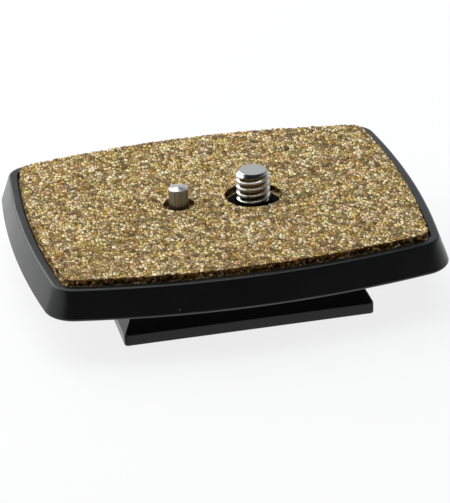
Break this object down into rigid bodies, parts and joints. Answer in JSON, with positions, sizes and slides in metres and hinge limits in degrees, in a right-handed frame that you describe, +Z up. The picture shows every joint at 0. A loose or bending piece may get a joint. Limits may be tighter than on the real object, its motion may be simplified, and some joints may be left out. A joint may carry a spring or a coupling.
{
  "type": "tripod quick release plate",
  "caption": "Barrel-shaped black plate with a cork pad, a camera screw and a sprung locating pin on top, and a hollow dovetail foot with a folding ring below.",
  "frame": {"origin": "centre of the dovetail foot's base", "axes": "+Z up through the camera screw, +X along the longer side from the locating pin towards the screw"},
  "size_m": [0.0772, 0.0652, 0.0203],
  "materials": {
    "body_plastic": "satin black moulded plastic with a fine texture",
    "cork_rubber": "cork granules in a dark rubber binder",
    "screw_steel": "bright plated steel",
    "ring_steel": "bent square steel bar, satin plated",
    "spring_steel": "black oxide spring steel",
    "washer_nylon": "smooth black nylon"
  },
  "bodies": {
    "plate": {"plate_body": "body_plastic", "cork_pad": "cork_rubber", "spring_plug": "washer_nylon", "pin_spring": "spring_steel"},
    "screw": {"camera_screw": "screw_steel", "thrust_washer": "washer_nylon", "retaining_clip": "spring_steel"},
    "ring": {"folding_ring": "ring_steel"},
    "pin": {"locating_pin": "screw_steel"}
  },
  "joints": [
    {"name": "screw_turn", "type": "hinge", "parent": "plate", "child": "screw", "pos_m": [0.0065, 0, 0], "axis": [0, 0, 1], "continuous": true},
    {"name": "ring_fold", "type": "hinge", "parent": "screw", "child": "ring", "pos_m": [0.0065, 0, 0.0024], "axis": [0, 1, 0], "range_deg": [0, 180]},
    {"name": "pin_press", "type": "slide", "parent": "plate", "child": "pin", "axis": [0, 0, 1], "range_m": [-0.00355, 0], "stiffness_N_per_m": 300, "springref_m": 0.003, "deforming": ["pin_spring"]}
  ]
}
